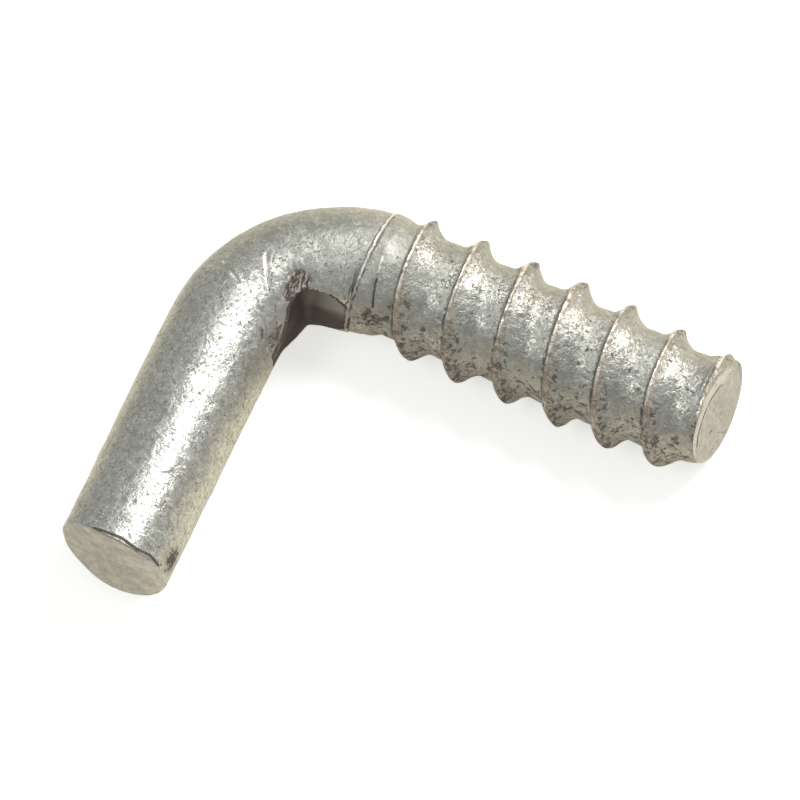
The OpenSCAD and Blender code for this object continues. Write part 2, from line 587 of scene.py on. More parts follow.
@dataclass(frozen=True)
class PressedCorner:
    """The inside of the bend, squared by the former that the wire was struck round.

    The former has one wall along the pin and one along the threaded arm. Both lean away as they rise, and the
    rounded corner between them opens upwards.
    """

    path: WirePath
    corner_r: float = 0.55
    corner_rise: float = 0.20
    pin_wall: float = 4.06
    pin_lean: float = 0.0195
    arm_wall: float = -3.98
    arm_lean: float = 0.018
    arm_leans: Rise = Rise(5.2, 1.4)
    draft: float = 0.09
    chamfer: float = 0.9
    chamfer_z: float = 2.58
    chamfer_end: Rise = Rise(-6.2, 1.2)
    stops_back: float = 1.2
    overshoot: float = 0.12
    faces_in: float = 0.2
    search_r: float = 6.0
    halvings: int = 22
    # How dark the painted shade on the flat is: most on the underside and round the bend, least near the threaded
    # arm.
    underside: Rise = Rise(160.0, 30.0)
    underside_dark: float = 0.85
    arm_dark: float = 0.10
    dark_from: Rise = Rise(20.0, 40.0)

    def work(self, surface: WireSurface) -> None:
        """Flattens the inside of the bend against the former.

        Args:
            surface: The wire's surface, which is changed.
        """
        path = self.path
        skin = surface.skin * (path.thread_x(surface.station) < path.collar_end - self.stops_back)
        swung = (path.bend_end - surface.station) / path.bend_r
        inward = -np.cos(np.radians(surface.turn))
        near = (swung > -self.overshoot) & (swung < path.swing + self.overshoot)
        reached = near & (inward > self.faces_in)
        wall = self._wall(np.clip(swung, 0.0, path.swing), inward, np.sin(np.radians(surface.turn)))
        inside = np.where(reached, surface.radius - wall, -1.0)
        surface.radius = np.where(inside > 0, wall, surface.radius)
        surface.add(Mark.FACET, np.clip(0.5 + inside, 0.0, 1.0) * skin)
        # Painted shade on the flat: a dark reflection of the shaded floor in the bend's corner, darker towards
        # the underside.
        dark = self.arm_dark + (1.0 - self.arm_dark) * self.dark_from.at(np.degrees(swung))
        dark = np.maximum(dark, self.underside_dark * self.underside.at(surface.turn % 360.0))
        surface.add(Mark.PATINA, dark * near * (inward > 0.0) * skin)

    def _wall(self, swung: np.ndarray, inward: np.ndarray, upward: np.ndarray) -> np.ndarray:
        """Finds how far from the wire's axis the former's surface lies, by halving.

        Args:
            swung: How far round the bend each place is, in radians.
            inward: How much its way out of the wire points into the bend.
            upward: How much that way points up.

        Returns:
            The distances.
        """
        path = self.path
        at_x = path.tangent - path.bend_r * np.sin(swung)
        at_y = path.bend_r * (np.cos(swung) - 1.0)
        in_x, in_y = np.sin(swung) * inward, -np.cos(swung) * inward
        low, high = np.zeros_like(swung), np.full_like(swung, self.search_r)
        for _ in range(self.halvings):
            middle = (low + high) / 2
            within = self._depth(at_x + in_x * middle, at_y + in_y * middle, upward * middle) > 0
            low, high = np.where(within, low, middle), np.where(within, middle, high)
        return low

    def _depth(self, x: np.ndarray, y: np.ndarray, z: np.ndarray) -> np.ndarray:
        """Gives how far places lie inside the former.

        Args:
            x: Their distances along the threaded arm.
            y: Their distances across it.
            z: Their heights over the wire's axis.

        Returns:
            The depths, below 0 outside the former.
        """
        above = np.maximum(z, 0.0)
        corner = self.corner_r + self.corner_rise * above
        across = self.pin_wall - self.pin_lean * above**3 + corner - x
        leaned = self.arm_lean * self.arm_leans.at(x) * above**2
        along = y - (self.arm_wall + leaned - corner)
        outside = np.hypot(np.maximum(across, 0.0), np.maximum(along, 0.0))
        drafted = self.draft * np.maximum(-z, 0.0)
        chamfered = self.chamfer * np.maximum(z - self.chamfer_z, 0.0) * self.chamfer_end.at(y)
        return corner - outside - np.minimum(np.maximum(across, along), 0.0) - drafted - chamfered


@dataclass(frozen=True)
class CroppedEnd:
    """A sheared end of the wire: a face that leans and crowns a little, and a rim that is just broken.

    A band of the face, on one side, may be polished and set off by a fine crack, where the shears first bit.
    """

    at_pin: bool
    lean: float
    lean_to: float
    dome: float
    rim: float
    crown: float = 0.0
    band: float = 0.0
    band_to: float = 0.0
    # soil: how much the face is darkened; on the thread's tip this is painted shade, with a few soil spots.
    soil: float = 0.0
    fade: float = 3.0
    rim_in: float = 0.6
    rim_down: float = 0.5
    rim_crowding: int = 8
    band_edge: float = 20.0
    band_in: float = 0.70
    polish_edge: float = 0.05
    crack_slope: float = 4.0
    crack: float = 0.98
    cut_from: float = 0.99
    cut_edge: float = 0.04

    def work(self, surface: WireSurface) -> None:
        """Shapes the end.

        Args:
            surface: The wire's surface, which is changed.
        """
        path = surface.path
        end, outward = (0.0, -1.0) if self.at_pin else (path.tip, 1.0)
        back = np.abs(surface.station - end)
        near = 1.0 - smooth(back / self.fade)
        across = np.clip(surface.radius / path.wire_r, 0.0, 1.1)
        on_face = back < surface.face_depth
        lean = self.lean * np.cos(np.radians(turn_gap(surface.turn, self.lean_to))) * across
        crown = self.crown * np.cos(2 * np.radians(surface.turn)) * across**2
        dome = np.where(on_face, self.dome * (1.0 - across**2), 0.0)
        worn_rim = self._worn_rim(np.where(on_face, path.wire_r - surface.radius, back))
        inward = np.where(on_face, self.rim * across**self.rim_crowding, worn_rim) * self.rim_in
        sunk = np.where(on_face, worn_rim * self.rim_down, 0.0)
        surface.radius = surface.radius - inward
        surface.station = surface.station + outward * (near * (lean + crown) + dome - sunk)
        surface.add(Mark.CUT, on_face * smooth((self.cut_from - across) / self.cut_edge))
        # Darkens the face: on the thread's tip this is painted shade, with a few soil spots.
        surface.add(Mark.SOIL, on_face * self.soil)
        if self.band > 0:
            from_middle = np.abs(turn_gap(surface.turn, self.band_to))
            ring = on_face * smooth((self.band - from_middle) / self.band_edge)
            surface.add(Mark.SHINE, ring * smooth((across - self.band_in) / self.polish_edge))
            crack = np.clip(1.0 - np.abs(across - self.band_in) * self.crack_slope, 0.0, 1.0)
            surface.add(Mark.CRACK, ring * crack * self.crack)

    def _worn_rim(self, distance: np.ndarray) -> np.ndarray:
        """How far the round of the rim falls below a sharp edge, at each distance from it."""
        within = np.maximum(self.rim - distance, 0.0)
        return self.rim - np.sqrt(np.maximum(self.rim**2 - within**2, 0.0))


@dataclass(frozen=True)
class Bow:
    """A stretch of the wire that stands a little to one side, as bending and rolling leave it."""

    station: float
    towards: float
    shift: float
    length: float

    def work(self, surface: WireSurface) -> None:
        """Moves the stretch aside.

        Args:
            surface: The wire's surface, which is changed.
        """
        share = hump(surface.station - self.station, self.length)
        aside = np.cos(np.radians(turn_gap(surface.turn, self.towards)))
        surface.radius = surface.radius * (1.0 + self.shift / surface.path.wire_r * share * aside)


@dataclass(frozen=True)
class Lump:
    """A round rise, where metal was pushed out of the way."""

    station: float
    turn: float
    length: float
    width: float
    rise: float

    def work(self, surface: WireSurface) -> None:
        """Raises the surface.

        Args:
            surface: The wire's surface, which is changed.
        """
        gap = spot_gap(surface, self.station, self.turn, self.length, self.width)
        surface.radius = surface.radius + self.rise * hump(gap, 1.0) * surface.skin


@dataclass(frozen=True)
class Patch:
    """A place where the surface carries more of one mark, such as soil or a crumpled skin."""

    mark: Mark
    station: float
    turn: float
    length: float
    width: float
    amount: float

    def work(self, surface: WireSurface) -> None:
        """Lays the mark on.

        Args:
            surface: The wire's surface, which is changed.
        """
        gap = spot_gap(surface, self.station, self.turn, self.length, self.width)
        surface.add(self.mark, self.amount * hump(gap, 1.0) * surface.skin)


@dataclass(frozen=True)
class Dent:
    """A mark that a tool left in the wire: a groove between two places, with a low lip on each side."""

    start: Spot
    end: Spot
    width: float
    depth: float
    lip: float = 0.35
    soil: float = 0.0
    shine: float = 0.0
    lip_at: float = 0.95
    lip_width: float = 0.4
    soil_width: float = 0.42
    shine_width: float = 0.8

    def work(self, surface: WireSurface) -> None:
        """Presses the mark into the wire.

        Args:
            surface: The wire's surface, which is changed.
        """
        wire_r = surface.path.wire_r
        along = surface.station - self.start[0]
        across = np.radians(turn_gap(surface.turn, self.start[1])) * wire_r
        run = self.end[0] - self.start[0]
        climb = math.radians(self.end[1] - self.start[1]) * wire_r
        length = math.hypot(run, climb)
        forward = (along * run + across * climb) / length
        aside = (across * run - along * climb) / length
        over = np.maximum(np.maximum(-forward, forward - length), 0.0)
        gap = np.hypot(over, aside)
        groove = hump(gap, self.width / 2) * surface.skin
        lips = hump(gap - self.width * self.lip_at, self.width * self.lip_width) * surface.skin
        surface.radius = surface.radius - self.depth * groove + self.depth * self.lip * lips
        surface.add(Mark.SOIL, self.soil * hump(gap, self.width * self.soil_width) * surface.skin)
        surface.add(Mark.SHINE, self.shine * hump(gap, self.width * self.shine_width) * surface.skin)


@dataclass(frozen=True)
class Line:
    """A crack or a bright scar, the scar partly bare metal and partly a painted highlight: the finish draws it
    thin along a path that the vertices only hint at.
    """

    mark: Mark
    points: tuple[Spot, ...]
    amount: float = 1.0
    reach: float = 0.6

    def work(self, surface: WireSurface) -> None:
        """Lays down how close each place is to the line.

        Args:
            surface: The wire's surface, which is changed.
        """
        degree = math.radians(1.0) * surface.path.wire_r
        nearest = np.full_like(surface.station, np.inf)
        for (from_station, from_turn), (to_station, to_turn) in zip(self.points, self.points[1:]):
            run, climb = to_station - from_station, (to_turn - from_turn) * degree
            along = surface.station - from_station
            across = turn_gap(surface.turn, from_turn) * degree
            share = np.clip((along * run + across * climb) / (run**2 + climb**2), 0.0, 1.0)
            nearest = np.minimum(nearest, np.hypot(along - share * run, across - share * climb))
        close = self.amount * np.clip(1.0 - nearest / self.reach, 0.0, 1.0) * surface.skin
        surface.marks[self.mark] = np.maximum(surface.marks[self.mark], close)


@dataclass(frozen=True)
class Swell:
    """A field of low lumps over the whole wire, as the hot dip and the drawing die leave them."""

    name: str
    grain: float
    height: float
    detail: int = 2

    def raise_on(self, wire: bpy.types.Object) -> None:
        """Adds the lumps to the mesh and applies them.

        Args:
            wire: The wire, in millimetres.
        """
        clouds = bpy.data.textures.new(self.name, "CLOUDS")
        clouds.noise_scale = self.grain
        clouds.noise_depth = self.detail
        lumps = wire.modifiers.new(self.name, "DISPLACE")
        lumps.texture = clouds
        lumps.texture_coords = "LOCAL"
        lumps.strength = self.height
        lumps.mid_level = 0.5
        bpy.context.view_layer.objects.active = wire
        bpy.ops.object.modifier_apply(modifier=lumps.name)


class Signal:
    """A shader value that takes part in Python sums, each of which adds its Math node."""

    def __init__(self, bench: "FinishBench", socket: bpy.types.NodeSocket) -> None:
        """Holds the socket and the node tree that it belongs to."""
        self.bench = bench
        self.socket = socket

    def _math(self, operation: str, *values: "Signal | float") -> "Signal":
        """One Math node on the given values."""
        return self.bench.make("ShaderNodeMath", {"operation": operation}, dict(enumerate(values))).out()

    def __add__(self, other: "Signal | float") -> "Signal":
        """self + other."""
        return self._math("ADD", self, other)

    __radd__ = __add__

    def __sub__(self, other: "Signal | float") -> "Signal":
        """self - other."""
        return self._math("SUBTRACT", self, other)

    def __rsub__(self, other: "Signal | float") -> "Signal":
        """other - self."""
        return self._math("SUBTRACT", other, self)

    def __mul__(self, other: "Signal | float") -> "Signal":
        """self * other."""
        return self._math("MULTIPLY", self, other)

    __rmul__ = __mul__

    def __truediv__(self, other: "Signal | float") -> "Signal":
        """self / other."""
        return self._math("DIVIDE", self, other)

    def __rtruediv__(self, other: "Signal | float") -> "Signal":
        """other / self."""
        return self._math("DIVIDE", other, self)

    def size(self) -> "Signal":
        """Its distance from 0."""
        return self._math("ABSOLUTE", self)

    def line(self, width: "Signal | float") -> "Signal":
        """1 where the value is 0, falling to 0 at the given width on both sides."""
        return (1.0 - self.size() / width).most(0.0)

    def turned_from(self, other: "Signal | float") -> "Signal":
        """The angle, in radians, whose tangent is self over other."""
        return self._math("ARCTAN2", self, other)

    def part(self) -> "Signal":
        """What is left of the value above the whole number below it."""
        return self._math("FRACT", self)

    def most(self, other: "Signal | float") -> "Signal":
        """The larger of the two."""
        return self._math("MAXIMUM", self, other)

    def ramp(self, low: float, high: float) -> "Signal":
        """Eases the value from 0 at low to 1 at high.

        Args:
            low: The value that gives 0.
            high: The value that gives 1; it may be the smaller one.

        Returns:
            The eased share.
        """
        settings = {"interpolation_type": "SMOOTHSTEP"}
        ends = {"Value": self, "From Min": min(low, high), "From Max": max(low, high)}
        share = self.bench.make("ShaderNodeMapRange", settings, ends).out()
        return 1.0 - share if low > high else share


@dataclass(frozen=True)
class Speckle:
    """A field of blotches: their size in millimetres, their finer layers, how strong those are, and the swirl."""

    size: float
    layers: float = 3.0
    fineness: float = 0.6
    swirl: float = 0.0


class MadeNode:
    """A shader node that was just added, with its outputs as signals."""

    def __init__(self, bench: "FinishBench", node: bpy.types.Node) -> None:
        """Holds the node and the bench it stands on."""
        self.bench = bench
        self.node = node

    def out(self, name: str | int = 0) -> Signal:
        """One of the node's outputs, by its name or place."""
        return Signal(self.bench, self.node.outputs[name])


class FinishBench:
    """The node tree of one material or of the surround, where a finish is put together."""

    def __init__(self, name: str, tree: bpy.types.NodeTree | None = None) -> None:
        """Starts an empty material, or clears a tree that is there.

        Args:
            name: The material's name.
            tree: The tree to use instead of a new material's.
        """
        self.material = None
        if tree is None:
            self.material = bpy.data.materials.new(name)
            self.material.use_nodes = True
            tree = self.material.node_tree
        self.tree = tree
        self.tree.nodes.clear()

    def make(self, kind: str, settings: Values = None, inputs: Values = None) -> MadeNode:
        """Adds one node.

        Args:
            kind: The node's type.
            settings: Its own properties, which are set first; "stops" are a colour ramp's places and colours.
            inputs: What goes into its sockets, by name or place: a signal is linked, and any other value is set.

        Returns:
            The node.
        """
        node = self.tree.nodes.new(kind)
        for name, value in (settings or {}).items():
            if name == "stops":
                self._set_stops(node, value)
            else:
                setattr(node, name, value)
        for name, value in (inputs or {}).items():
            socket = node.inputs[name]
            if isinstance(value, Signal):
                self.tree.links.new(value.socket, socket)
            else:
                socket.default_value = value
        return MadeNode(self, node)

    @staticmethod
    def _set_stops(node: bpy.types.Node, stops: Sequence[tuple[float, Colour]]) -> None:
        """Gives a colour ramp its stops.

        Args:
            node: The ramp.
            stops: Places from 0 to 1, each with its colour.
        """
        elements = node.color_ramp.elements
        while len(elements) < len(stops):
            elements.new(1.0)
        for element, (at, colour) in zip(elements, stops):
            element.position = at
            element.color = (*colour, 1.0)

    def blend(self, share: Signal | float, first: Signal | Colour, second: Signal | Colour) -> Signal:
        """Mixes two colours.

        Args:
            share: How much of the second colour there is.
            first: The first colour, a signal or three numbers.
            second: The second colour.

        Returns:
            The mixed colour.
        """
        colours = [c if isinstance(c, Signal) else (*c, 1.0) for c in (first, second)]
        settings = {"data_type": "RGBA", "blend_type": "MIX", "clamp_factor": True}
        node = self.make("ShaderNodeMix", settings, {0: share, 6: colours[0], 7: colours[1]})
        return node.out(2)

    def noise(self, where: Signal, speckle: Speckle) -> Signal:
        """A field of soft blotches.

        Args:
            where: The coordinates, in millimetres.
            speckle: The blotches' measures.

        Returns:
            The field, about 0.5 on average.
        """
        inputs = {
            "Vector": where,
            "Scale": 1.0 / speckle.size,
            "Detail": speckle.layers,
            "Roughness": speckle.fineness,
            "Distortion": speckle.swirl,
        }
        return self.make("ShaderNodeTexNoise", {}, inputs).out("Fac")

    def place(self) -> Signal:
        """Where a point lies in its object's own space, in metres."""
        return self.make("ShaderNodeTexCoord").out("Object")

    def split(self, where: Signal) -> tuple[Signal, Signal, Signal]:
        """The x, y and z of a place or a direction."""
        node = self.make("ShaderNodeSeparateXYZ", {}, {0: where})
        return node.out("X"), node.out("Y"), node.out("Z")

    def stretch(self, where: Signal, scale: tuple[float, float, float]) -> Signal:
        """The coordinates, multiplied along each axis."""
        return self.make("ShaderNodeVectorMath", {"operation": "MULTIPLY"}, {0: where, 1: scale}).out()

    def length(self, where: Signal) -> Signal:
        """How far a place is from the origin."""
        return self.make("ShaderNodeVectorMath", {"operation": "LENGTH"}, {0: where}).out("Value")

    def mark(self, mark: Mark) -> Signal:
        """A mark that the vertices carry."""
        return self.make("ShaderNodeAttribute", {"attribute_name": mark.value}).out("Fac")

    def paint(self, kind: str, colour: Signal | Colour) -> Signal:
        """A plain shader of one kind, in one colour."""
        return self.make(kind, {}, {"Color": colour if isinstance(colour, Signal) else (*colour, 1.0)}).out()

    def either(self, share: Signal, first: Signal, second: Signal) -> Signal:
        """The first shader, and the second as far as the share goes."""
        return self.make("ShaderNodeMixShader", {}, {0: share, 1: first, 2: second}).out()


@dataclass(frozen=True)
class Strip:
    """A thin line along a field: where it runs, how wide it is, and the shares that its sides fade between."""

    at: float
    width: float
    fades: Window = (0.2, 0.7)

    def near(self, value: Signal, widened: Signal | float = 0.0) -> Signal:
        """1 along the line's middle, falling evenly to 0 at its width."""
        return (value - self.at).line(self.width + widened)

    def on(self, value: Signal, widened: Signal | float = 0.0) -> Signal:
        """1 along the line and 0 beside it, with eased sides."""
        return self.near(value, widened).ramp(*self.fades)


@dataclass(frozen=True)
class Grounds:
    """The fields that the whole finish is mixed from: the marks on the wire and the noise in its coat."""

    where: Signal
    marks: dict[Mark, Signal]
    facet: Signal
    grain: Signal
    cloud: Signal
    fine: Signal
    blotch: Signal
    patch: Signal
    wander: Signal
    streaks: Signal
    specks: Signal


@dataclass(frozen=True)
class Ridges:
    """The thin lines of the thread and of the collar, and what lies along them: painted highlights, painted
    shadows, grime and rust.
    """

    # Painted highlight: bright lines along the crests and the collar step.
    glint: Signal
    lip: Signal
    land: Signal
    # Dark lines: painted shadow at the crest feet and beside the collar step, and grime beside the lands and on
    # the flanks.
    edges: Signal
    rust: Signal
    # Painted highlight: clusters of glints at set places in each groove.
    painted_glints: Signal


@dataclass(frozen=True)
class ZincFinish:
    """A mottled zinc coat over steel, with painted highlights along its crests and in its grooves, and grime and
    painted shade in its creases.

    A window is the pair of values between which a field fades in, or out where the first is the larger one.
    """

    path: WirePath
    thread: RolledThread
    name: str = "zinc_coat"
    dark: Colour = (0.33, 0.33, 0.32)
    middle: Colour = (0.545, 0.56, 0.54)
    pale: Colour = (0.80, 0.80, 0.775)
    speck: Colour = (0.12, 0.115, 0.10)
    rolled: Colour = (0.35, 0.355, 0.325)
    # The grey of soil patches and of the thread's darker underside.
    soil_and_belly_grey: Colour = (0.40, 0.39, 0.385)
    soil: Colour = (0.066, 0.043, 0.037)
    # The colour of the painted shade on the flat inside the bend.
    patina: Colour = (0.057, 0.043, 0.049)
    dull: Colour = (0.36, 0.36, 0.35)
    lip: Colour = (0.62, 0.53, 0.45)
    land: Colour = (0.24, 0.195, 0.17)
    worn_land: Colour = (0.50, 0.455, 0.39)
    # The colour of the painted glint clusters in the grooves.
    painted_glints: Colour = (1.0, 0.95, 0.86)
    rust: Colour = (0.38, 0.24, 0.15)
    # The colour of the painted highlights along the crests and the collar step, and of the bright scars.
    bright: Colour = (1.0, 0.93, 0.85)
    cut: Colour = (0.74, 0.72, 0.675)
    cut_shade: Colour = (0.47, 0.47, 0.475)
    stops: Window = (0.38, 0.62)
    grain: Speckle = Speckle(0.40, 6.0, 0.72, 0.5)
    cloud: Speckle = Speckle(2.6, 3.0, 0.55)
    fine: Speckle = Speckle(0.12, 2.0)
    blotch: Speckle = Speckle(0.9, 4.0, 0.62, 0.4)
    wander: Speckle = Speckle(0.55)
    patch: Speckle = Speckle(0.34, 5.0, 0.72, 0.6)
    specks: Speckle = Speckle(0.25, 2.5, 0.6, 0.8)
    speck_window: Window = (0.57, 0.66)
    speck_cloud: Window = (0.32, 0.58)
    stains: Speckle = Speckle(0.65, 4.0)
    stain_window: Window = (0.64, 0.72)
    streaks: Speckle = Speckle(0.7, 3.0, 0.6, 0.5)
    streak_scale: tuple[float, float, float] = (4.2, 1.2, 1.0)
    dimples: Speckle = Speckle(0.50, 1.5, 0.5, 1.2)
    rolled_dimples: Speckle = Speckle(0.28, 2.0, 0.6, 0.8)
    lumps: Speckle = Speckle(1.3, 1.0, 0.5, 0.6)
    breaks: Speckle = Speckle(0.5)
    break_window: Window = (0.42, 0.54)
    spots: Speckle = Speckle(0.38, 4.0, 0.65)
    spot_window: Window = (0.47, 0.60)
    glint_flecks: Speckle = Speckle(0.20, 2.0, 0.6, 0.6)
    glint_fleck_window: Window = (0.58, 0.66)
    crack_window: Window = (0.84, 0.92)
    scar_and_glint_window: Window = (0.80, 0.90)
    soiled_window: Window = (0.02, 0.15)
    dirty_window: Window = (1.02, 1.26)
    # Windows of the painted shade in the creases of the crumpled skin, and of the painted highlight on its
    # wrinkles.
    crease_shade_window: Window = (0.48, 0.53)
    wrinkle_highlight_window: Window = (0.47, 0.41)
    pressed_window: Window = (-0.01, 0.03)
    seam: Strip = Strip(-0.05, 0.105, (0.2, 0.6))
    seam_end: Window = (-0.49, -0.44)
    ledge: Strip = Strip(-0.22, 0.15)
    crest_glint: Strip = Strip(0.05, 0.28, (0.18, 0.60))
    crest_land: Strip = Strip(0.30, 0.42, (0.1, 0.5))
    crest_rust: Strip = Strip(0.26, 0.10, (0.1, 0.7))
    # Painted shadow: a thin dark line at the foot of each crest.
    crest_foot_shadow: Strip = Strip(-0.15, 0.10, (0.2, 0.8))
    right_line: Strip = Strip(0.78, 0.45, (0.1, 0.7))
    flank_line: Strip = Strip(0.55, 0.40, (0.0, 0.6))
    flank_turn: Strip = Strip(0.09, 0.045, (0.0, 0.6))
    crest_lip: Strip = Strip(0.03, 0.22)
    # Where the painted glint clusters sit in each groove: across the pitch and round the wire.
    upper_glint_place: Strip = Strip(1.1, 1.1)
    upper_glint_turn: Strip = Strip(0.22, 0.06)
    lower_glint_place: Strip = Strip(2.35, 0.9)
    lower_glint_turn: Strip = Strip(0.32, 0.06)
    glint_place_window: Window = (0.0, 0.45)
    collar_glint: Strip = Strip(0.0, 0.12)
    collar_lip: Strip = Strip(0.0, 0.16)
    # Painted shadows beside the collar step, the second one underneath.
    collar_step_shadow: Strip = Strip(0.19, 0.11)
    collar_under_shadow: Strip = Strip(-0.19, 0.11)
    collar_in: float = 0.05
    collar_top: Window = (-0.10, -0.05)
    collar_below: Window = (0.40, 0.44)
    glint_share: float = 0.42
    rust_share: float = 0.35
    share_window: Window = (0.1, 0.6)
    upper_turn: Window = (0.42, 0.31)
    belly_turn: Window = (0.28, 0.38)
    under_turn: Window = (0.30, 0.40)
    bump_strength: float = 0.85
    bump_height: float = 0.00011

    def build(self) -> bpy.types.Material:
        """Puts the finish together.

        Returns:
            The material.
        """
        bench = FinishBench(self.name)
        grounds = self._grounds(bench)
        marks, grain, specks = grounds.marks, grounds.grain, grounds.specks
        soil, cut, rolled, shine = (marks[m] for m in (Mark.SOIL, Mark.CUT, Mark.ROLLED, Mark.SHINE))
        ridges = self._ridges(bench, grounds)
        pressed = grounds.facet.ramp(*self.pressed_window) * (1.0 - cut)
        dirt_and_shade = self._dirt_and_shade(bench, grounds, ridges)
        # The bright scars join the painted highlights: partly bare metal and partly painted highlight.
        glint = ridges.glint.most((marks[Mark.SCAR] + grounds.wander * 0.12).ramp(*self.scar_and_glint_window))
        coat = self._coat(bench, grounds, ridges)
        coat = bench.blend(cut, coat, self._face(bench, grounds))
        # The flat inside the bend is painted from grey to near black as painted shade.
        coat = bench.blend(pressed, coat, bench.blend(marks[Mark.PATINA], self.dull, self.patina))
        coat = bench.blend(self._ledge(grounds), coat, self.lip)
        # Grime and the painted shade of creases and crest feet darken the coat.
        coat = bench.blend(dirt_and_shade * 0.93, coat, self.soil)
        # Painted highlight on the tops of the crumpled skin's wrinkles.
        wrinkle_highlights = marks[Mark.CRUMPLE].ramp(0.25, 0.6) * grounds.streaks.ramp(*self.wrinkle_highlight_window)
        coat = bench.blend(wrinkle_highlights, coat, self.lip)
        # The painted highlights along the crests and the collar step, and the bright scars, go over the coat.
        coat = bench.blend(glint, coat, self.bright)
        rough = 0.28 + grain * 0.16 + marks[Mark.DULL].most(rolled) * 0.18 + marks[Mark.DULL] * rolled * 0.14
        rough = rough - rolled * 0.13 - ridges.painted_glints * 0.10 + specks * 0.2 + dirt_and_shade * 0.3
        rough = (rough + cut * 0.18 + pressed * 0.2 - shine * 0.08 - glint * 0.15).most(0.08)
        metal = 0.95 - dirt_and_shade * 0.8 - cut * 0.4 - specks * 0.4 - ridges.land * 0.25 - pressed * 0.4 - soil * 0.5
        bump = self._bump(bench, grounds, ridges.lip, dirt_and_shade, pressed)
        inputs = {"Base Color": coat, "Metallic": metal, "Roughness": rough, "Normal": bump}
        surface = bench.make("ShaderNodeBsdfPrincipled", {}, inputs)
        bench.make("ShaderNodeOutputMaterial", {}, {"Surface": surface.out()})
        return bench.material

    def _grounds(self, bench: FinishBench) -> Grounds:
        """Reads the marks and spreads the noise.

        Args:
            bench: Where the finish is put together.

        Returns:
            The fields to mix from.
        """
        where = bench.stretch(bench.place(), (1.0 / MM,) * 3)
        marks = {mark: bench.mark(mark) for mark in Mark}
        cloud = bench.noise(where, self.cloud)
        return Grounds(
            where=where,
            marks=marks,
            facet=marks[Mark.FACET] - 0.5,
            grain=bench.noise(where, self.grain),
            cloud=cloud,
            fine=bench.noise(where, self.fine),
            blotch=bench.noise(where, self.blotch),
            patch=bench.noise(where, self.patch),
            wander=bench.noise(where, self.wander) - 0.5,
            streaks=bench.noise(bench.stretch(where, self.streak_scale), self.streaks),
            specks=bench.noise(where, self.specks).ramp(*self.speck_window) * cloud.ramp(*self.speck_cloud),
        )

    def _coat(self, bench: FinishBench, grounds: Grounds, ridges: Ridges) -> Signal:
        """Mixes the zinc coat as it greys, with its painted glint clusters and the painted shade on its dull
        patches, before the grime.

        Args:
            bench: Where the finish is put together.
            grounds: The fields to mix from.
            ridges: The lines of the thread and the collar.

        Returns:
            The coat's colour.
        """
        marks, grain, blotch = grounds.marks, grounds.grain, grounds.blotch
        matt_and_shaded, rolled = marks[Mark.DULL], marks[Mark.ROLLED]
        tone = grain * 0.52 + grounds.cloud * 0.13 + grounds.fine * 0.35
        low, high = self.stops
        stops = [(low, self.dark), ((low + high) / 2, self.middle), (high, self.pale)]
        coat = bench.make("ShaderNodeValToRGB", {"stops": stops}, {"Fac": tone}).out("Color")
        coat = bench.blend(grounds.specks * 0.72, coat, self.speck)
        # The rolled thread gets its darker grey; on the dull patches this darker grey is painted shade that damps
        # the highlights.
        coat = bench.blend(matt_and_shaded.most(rolled) * (0.34 + blotch.ramp(0.40, 0.60) * 0.40), coat, self.rolled)
        coat = bench.blend(matt_and_shaded * rolled * 0.5, coat, self.rolled)
        # Soil patches, and the thread's underside, are greyed.
        coat = bench.blend(marks[Mark.SOIL] * 2.6 * blotch.ramp(0.30, 0.50), coat, self.soil_and_belly_grey)
        # The glint clusters in the grooves are painted highlights.
        coat = bench.blend(ridges.painted_glints * 0.72, coat, self.painted_glints)
        land = bench.blend(grain.ramp(0.40, 0.60), self.land, self.worn_land)
        coat = bench.blend(ridges.land * 0.85, coat, land)
        return bench.blend(ridges.rust * blotch.ramp(0.42, 0.58) * 0.6, coat, self.rust)

    def _face(self, bench: FinishBench, grounds: Grounds) -> Signal:
        """Mixes the colour of the cut faces.

        Args:
            bench: Where the finish is put together.
            grounds: The fields to mix from.

        Returns:
            The colour.
        """
        shade = grounds.blotch.ramp(0.38, 0.60) * 0.55 + grounds.grain.ramp(0.35, 0.65) * 0.45
        face = bench.blend(shade, self.cut, self.cut_shade)
        # Soil on a cut face paints it darker: on the thread's tip this is painted shade.
        face = bench.blend(grounds.marks[Mark.SOIL] * 2.0, face, self.cut_shade)
        return bench.blend(grounds.marks[Mark.SHINE] * 0.8, face, self.cut)

    def _ledge(self, grounds: Grounds) -> Signal:
        """The pale, broken edge of the flat inside the bend, on its threaded side."""
        line = self.ledge.on(grounds.facet + grounds.wander * 0.15)
        return line * grounds.patch.ramp(0.54, 0.46) * grounds.marks[Mark.PATINA].ramp(0.85, 0.6)

    def _dirt_and_shade(self, bench: FinishBench, grounds: Grounds, ridges: Ridges) -> Signal:
        """Finds where grime and painted shade sit: grime in patches and cracks, along the flat's seam and beside
        the ridges, painted shade in the creases and along the crest feet and the collar step.

        Args:
            bench: Where the finish is put together.
            grounds: The fields to mix from.
            ridges: The lines of the thread and the collar.

        Returns:
            The share of grime and painted shade.
        """
        marks, patch, wander = grounds.marks, grounds.patch, grounds.wander
        soil = marks[Mark.SOIL]
        patches = (patch * 1.5 + soil * 0.85).ramp(*self.dirty_window) * soil.ramp(*self.soiled_window)
